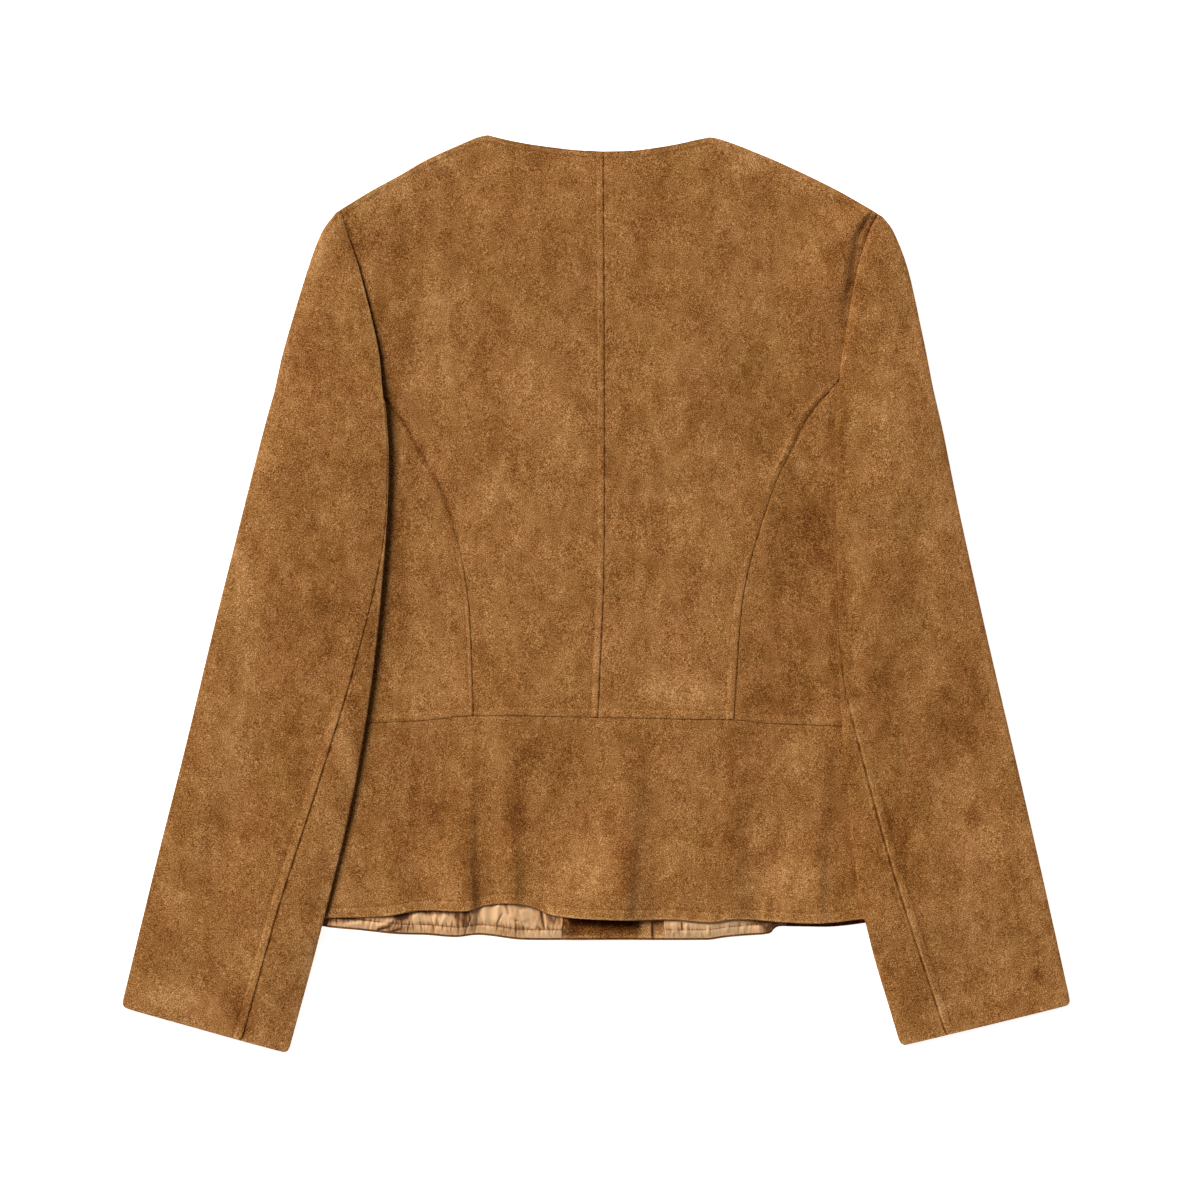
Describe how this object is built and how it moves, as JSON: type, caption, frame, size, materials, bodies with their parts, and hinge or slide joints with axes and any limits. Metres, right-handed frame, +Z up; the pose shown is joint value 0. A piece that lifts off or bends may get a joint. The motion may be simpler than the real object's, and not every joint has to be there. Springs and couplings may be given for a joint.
{
  "type": "velour jacket",
  "caption": "Collarless jacket of brown velour, laid flat with its back up: shaped back seams, waist seam, flared peplum, long sleeves over the sides, satin lining showing past the hem.",
  "frame": {"origin": "middle of the footprint, on the surface that the jacket lies on", "axes": "+Z up, out of the back; +Y towards the neck; +X towards the wearer's right sleeve"},
  "size_m": [0.7125, 0.6896, 0.0107],
  "materials": {
    "velour": "tan brown velour with a short brushed nap, matt and softly mottled",
    "lining_satin": "peach satin lining with a soft sheen, gathered into the hem"
  },
  "bodies": {
    "root": {"back_left": "velour", "back_right": "velour", "side_back_left": "velour", "side_back_right": "velour", "peplum_back": "velour", "front_left": "velour", "front_right": "velour", "peplum_front_left": "velour", "peplum_front_right": "velour", "facing_left": "velour", "facing_right": "velour", "lining_left": "lining_satin", "lining_right": "lining_satin", "upper_sleeve_left": "velour", "upper_sleeve_right": "velour", "under_sleeve_left": "velour", "under_sleeve_right": "velour"}
  },
  "joints": []
}
